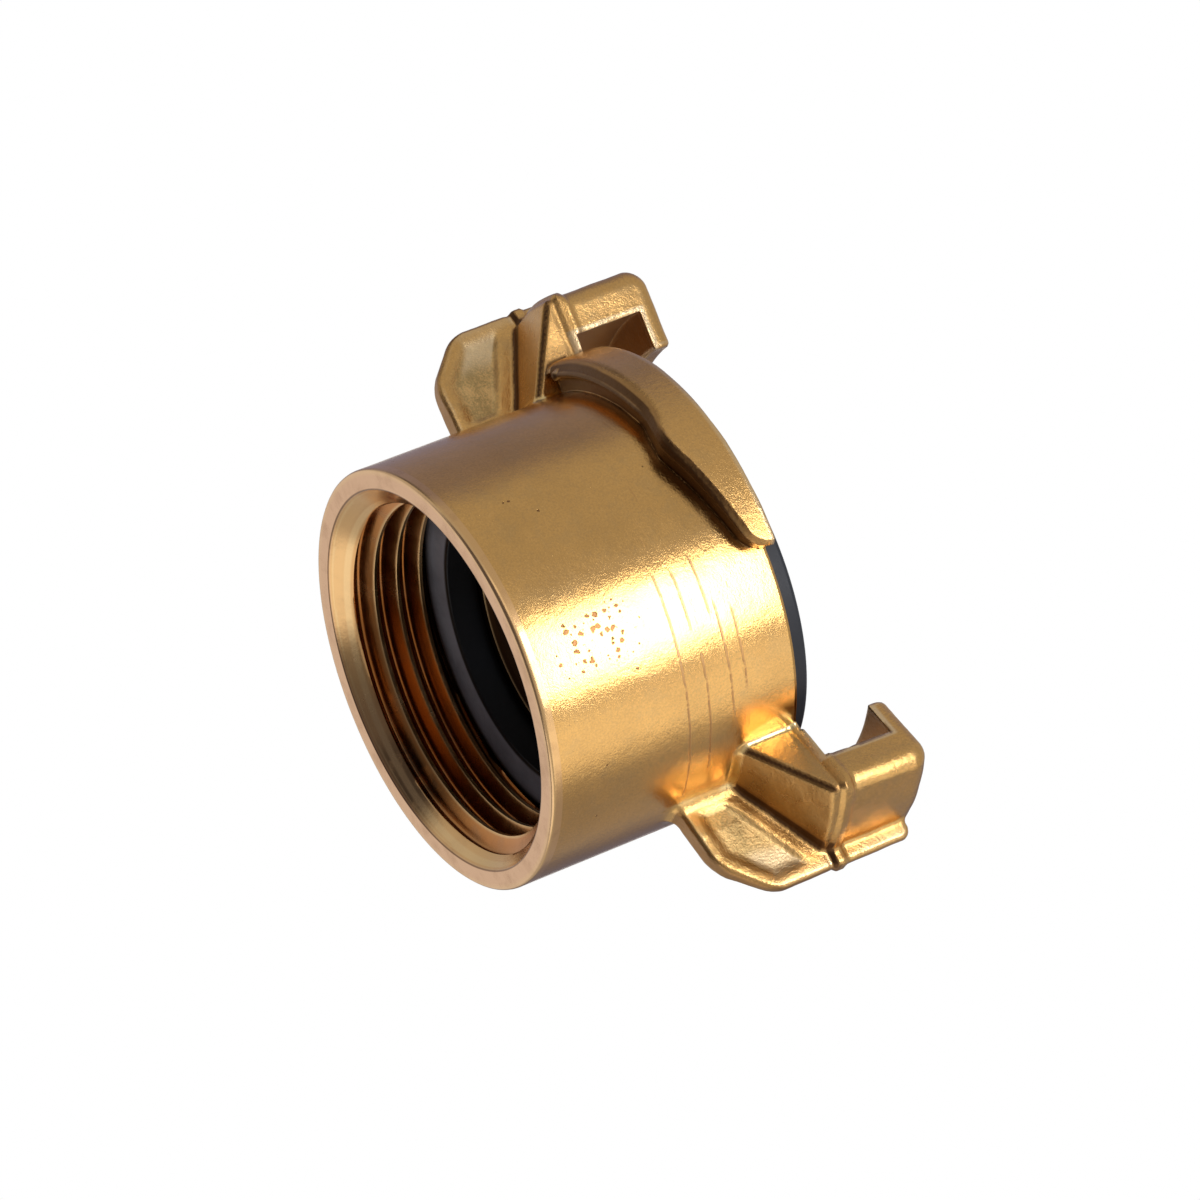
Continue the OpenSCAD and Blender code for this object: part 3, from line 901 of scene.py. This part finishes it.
def brass_turned():
    """Freshly turned brass of the end face, the lead-in, the thread and the bore."""
    material = bpy.data.materials.new("brass_turned")
    g = Graph(nodes_of(material))
    pale = (0.84, 0.53, 0.31, 1)
    lead_in = (0.86, 0.52, 0.225, 1)
    painted_thread_shade = (0.62, 0.27, 0.08, 1)
    painted_root_shade = (0.44, 0.165, 0.04, 1)
    spotted = (0.10, 0.06, 0.03, 1)
    stained = (0.50, 0.28, 0.14, 1)
    shaded = (0.045, 0.02, 0.008, 1)
    crest_wear_and_highlight = (0.95, 0.66, 0.33, 1)
    burr = (0.16, 0.075, 0.03, 1)

    place, angle, height = around(g)
    radius = radius_of(g, place)
    edge, crease, hollow = g.attribute("edge"), g.attribute("crease"), g.attribute("hollow")
    stains = g.noise(place, 380, 5, 0.6)
    colour = g.mix(g.fade(height, 0.00002, 0.0002), lead_in, pale)
    # Painted shade: inside the bore the thread is painted darker and browner, darkest in its roots.
    painted_bore_shade = g.mix(g.step(hollow, 0.1, 0.9), painted_thread_shade, painted_root_shade)
    colour = g.mix(g.step(height, 0.0008, 0.0024), colour, painted_bore_shade)
    spots = g.times(g.step(g.noise(place, 420, 5, 0.65), 0.34, 0.5),
                    g.step(angle, 1.15, 1.4), g.fade(angle, 1.6, 1.8),
                    g.step(height, 0.0001, 0.0003), g.step(height, 0.0024, 0.0030, 0.85, 0.0))
    colour = g.mix(spots, colour, spotted)
    colour = g.tint(colour, g.step(stains, 0.45, 0.7), 0.35, stained)
    inner = g.step(height, 0.0120, 0.0123)
    colour = g.mix(inner, colour, shaded)
    # Edge wear and painted highlight: the bore's edges and the thread's crests are painted paler.
    colour = g.tint(colour, edge, 0.8, crest_wear_and_highlight)
    colour = g.tint(colour, crease, 0.8, burr)
    lathe = g.noise(g.vector(g.times(radius, 9000), g.times(height, 9000), g.times(angle, 2.5)), 1.0, 3, 0.6)
    skin = g.plus(g.times(lathe, 0.08), g.times(g.noise(place, 3000, 3), 0.16))
    rough = g.plus(g.step(stains, 0.3, 0.7, 0.18, 0.28), g.times(inner, 0.25))
    g.surface(colour, rough, skin, 0.00004)
    return material


def rubber(name, base, rubbed_and_sheen, inner, outer):
    """Moulded rubber with a grey band between two radii in metres: rubbed dust and painted sheen."""
    material = bpy.data.materials.new(name)
    g = Graph(nodes_of(material))
    place = g.add("ShaderNodeTexCoord").outputs["Object"]
    radius = radius_of(g, place)
    bloom = g.noise(place, 200, 4)
    band = g.times(g.step(radius, inner, inner + 0.0004), g.fade(radius, outer - 0.0008, outer))
    colour = g.mix(g.times(band, g.step(bloom, 0.2, 0.7, 0.6, 1.0)), base, rubbed_and_sheen)
    rough = g.step(bloom, 0.3, 0.7, 0.40, 0.54)
    g.surface(colour, rough, g.noise(place, 1400, 5), 0.00004, 0.5, 0.0, 0.3)
    return material


def rounded_profile(corners, segments=5):
    """Closed outline through corners, each a point and the radius of its rounding."""
    out = []
    count = len(corners)
    for i, (r, z, q) in enumerate(corners):
        here = np.array([r, z])
        before = np.array(corners[i - 1][:2]) - here
        after = np.array(corners[(i + 1) % count][:2]) - here
        before /= np.linalg.norm(before)
        after /= np.linalg.norm(after)
        half = math.acos(np.clip(before @ after, -1, 1)) / 2
        if q <= 0 or half > 1.55:
            out.append(here)
            continue
        middle = (before + after) / np.linalg.norm(before + after)
        centre = here + middle * q / math.sin(half)
        start = here + before * q / math.tan(half) - centre
        end = here + after * q / math.tan(half) - centre
        for s in np.linspace(0, 1, segments + 1):
            d = start * (1 - s) + end * s
            out.append(centre + d / np.linalg.norm(d) * q)
    return np.array(out)


def ring_piece(name, corners, columns=192):
    """Ring turned from a closed outline of radius and height."""
    outline = rounded_profile(corners)
    n = len(outline)
    angles = np.linspace(0, 2 * math.pi, columns, endpoint=False)
    rows = [np.stack([r * np.cos(angles), r * np.sin(angles), np.full(columns, z)], 1) for r, z in outline]
    verts = np.concatenate(rows)
    ids = np.arange(n * columns).reshape(n, columns)
    pairs = zip(ids, np.roll(ids, -1, 0))
    faces = np.concatenate([stitched(a, b, a[0], b[0]) for a, b in pairs])
    return make_mesh(name, verts, faces, turned_normals(verts, faces, 0.5))


def build_seal():
    """Face seal: head on the coupling face, neck, and foot in the undercut."""
    bore, head, step = 12.6, 18.2, 1
    neck, foot = pocket_r - seal_gap, undercut_r - seal_gap
    foot_z, head_z, top = undercut_z - seal_gap, face_z + seal_gap / 2, seal_high[2]
    corners = [
        (bore, pocket_z, 0.5),
        (foot, pocket_z, 0.2),
        (foot, foot_z, 0.2),
        (neck, foot_z, 0.2),
        (neck, head_z, 0.1),
        (head, head_z, 0.15),
        (head, top, 0.5),
        (bore + step, top, 0.5),
        (bore + step, face_z - 1.6, 0.3),
        (bore, face_z - 2.6, 0.3),
    ]
    return ring_piece("face_seal_ring", corners[::-1])


def build_gasket():
    """Flat gasket behind the thread, its edges rounded."""
    width = 3.95
    inner, outer = gasket_high[0] - width, gasket_high[0]
    low, high = gasket_low[2], gasket_high[2]
    corners = [(inner, high, 0.25), (outer, high, 0.25), (outer, low, 0.3), (inner, low, 0.15)]
    return ring_piece("thread_gasket_ring", corners)


# Cards round the object: azimuth, elevation, inner and outer angle from their middle, colour
cards = [
    (160, 25, 26, 42, (0.26, 0.25, 0.35)),
    (84, 25, 14, 30, (0.17, 0.16, 0.20)),
    (40, 25, 20, 32, (0.35, 0.34, 0.37)),
    (184, 2, 12, 22, (0.12, 0.11, 0.13)),
    (268, 2, 12, 21, (1.0, 0.98, 0.96)),
    (300, 26, 12, 34, (0.56, 0.60, 0.72)),
    (0, -90, 38, 50, (0.14, 0.13, 0.13)),
    (24, -40, 22, 30, (0.98, 0.95, 0.92)),
    (112, -26, 20, 36, (0.70, 0.68, 0.68)),
    (178, -32, 14, 28, (0.50, 0.49, 0.48)),
    (243, -54, 26, 40, (0.10, 0.09, 0.10)),
    (269, -25, 10, 20, (0.14, 0.13, 0.14)),
]


def heading(azimuth, elevation):
    """Unit direction from an azimuth and an elevation in degrees."""
    a, e = math.radians(azimuth), math.radians(elevation)
    return math.cos(e) * math.cos(a), math.cos(e) * math.sin(a), math.sin(e)


def set_world():
    """White backdrop for the camera, and an even grey studio room for light and reflections."""
    world = bpy.data.worlds.new("studio")
    bpy.context.scene.world = world
    g = Graph(nodes_of(world))
    path = g.add("ShaderNodeLightPath")
    direction = g.add("ShaderNodeTexCoord").outputs["Generated"]

    def toward(vector):
        values = {0: direction, 1: vector}
        return g.add("ShaderNodeVectorMath", values, operation="DOT_PRODUCT").outputs["Value"]

    room = (0.46, 0.45, 0.44, 1)
    for azimuth, elevation, inner, outer, colour in cards:
        middle = heading(azimuth, elevation)
        inside = g.step(toward(middle), math.cos(math.radians(outer)), math.cos(math.radians(inner)))
        room = g.mix(inside, room, colour + (1,))
    backdrop = g.step(toward(camera_ahead), 0.985, 0.993)
    seen = g.most(path.outputs["Is Camera Ray"], path.outputs["Is Transmission Ray"])
    white = g.most(seen, g.times(path.outputs["Is Glossy Ray"], backdrop))
    colour = g.mix(white, room, (1, 1, 1, 1))
    back = g.add("ShaderNodeBackground", {"Color": colour, "Strength": 1.0})
    out = g.add("ShaderNodeOutputWorld")
    g.tree.links.new(back.outputs[0], out.inputs[0])


def add_lamp(name, azimuth, elevation, distance, width, height, power, aim=15):
    """Soft rectangular lamp that faces the coupling from a direction in degrees."""
    away = np.array(heading(azimuth, elevation))
    data = bpy.data.lights.new(name, "AREA")
    data.shape = "RECTANGLE"
    data.size = width
    data.size_y = height
    data.energy = power
    lamp = bpy.data.objects.new(name, data)
    side = np.cross([0, 0, 1], away)
    side /= np.linalg.norm(side)
    up = np.cross(away, side)
    turn = Matrix((side, up, away)).transposed().to_4x4()
    lamp.matrix_world = Matrix.Translation(away * distance + np.array([0, 0, aim * MM])) @ turn
    lamp.visible_camera = False
    bpy.context.scene.collection.objects.link(lamp)


def add_floor():
    """Pale floor, clear from below, that takes the coupling's shadow and lets the low lamps past."""
    size = 0.6
    mesh = bpy.data.meshes.new("floor")
    z = -0.00002
    corners = [(-size, -size, z), (size, -size, z), (size, size, z), (-size, size, z)]
    mesh.from_pydata(corners, [], [(0, 1, 2, 3)])
    floor = bpy.data.objects.new("floor", mesh)
    bpy.context.scene.collection.objects.link(floor)
    material = bpy.data.materials.new("floor_paper")
    g = Graph(nodes_of(material))
    paper = g.noise(g.add("ShaderNodeTexCoord").outputs["Object"], 60, 3)
    colour = g.mix(paper, (0.86, 0.86, 0.86, 1), (0.9, 0.9, 0.9, 1))
    top = g.add("ShaderNodeBsdfPrincipled", {"Base Color": colour, "Roughness": 0.9})
    clear = g.add("ShaderNodeBsdfTransparent")
    behind = g.add("ShaderNodeNewGeometry").outputs["Backfacing"]
    both = g.add("ShaderNodeMixShader", {0: behind, 1: top.outputs[0], 2: clear.outputs[0]})
    out = g.add("ShaderNodeOutputMaterial")
    g.tree.links.new(both.outputs[0], out.inputs[0])
    mesh.materials.append(material)
    floor.visible_glossy = False
    floor.visible_diffuse = False
    floor.visible_transmission = False
    floor.visible_shadow = False


add_camera()
set_world()
add_floor()
add_lamp("key_softbox", 301, 25.5, 0.15, 0.086, 0.034, 0.074, 3)
add_lamp("low_softbox", 347, 20, 0.7, 0.38, 0.40, 0.31)

body = build_body(0.1)
body.data.materials.append(brass_forged())
body.data.materials.append(brass_turned())
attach(body, "root")
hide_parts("body")

seal = build_seal()
seal_black, seal_painted_sheen = (0.014, 0.015, 0.018, 1), (0.030, 0.032, 0.040, 1)
# Painted sheen: the seal from 17.6 mm radius outwards is painted grey-blue.
seal.data.materials.append(rubber("seal_rubber", seal_black, seal_painted_sheen, 0.0176, 0.02))
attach(seal, "root")
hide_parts("face_seal")

gasket = build_gasket()
gasket_black, gasket_dust_and_sheen = (0.006, 0.006, 0.007, 1), (0.36, 0.36, 0.41, 1)
# Dust and painted sheen: the gasket's face is grey between 13.1 and 16.6 mm radius; its inner wall and outer
# rim stay black as painted shade.
gasket.data.materials.append(rubber("gasket_rubber", gasket_black, gasket_dust_and_sheen, 0.0131, 0.0166))
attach(gasket, "root")
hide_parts("thread_gasket")

bpy.context.scene.view_settings.view_transform = "Standard"
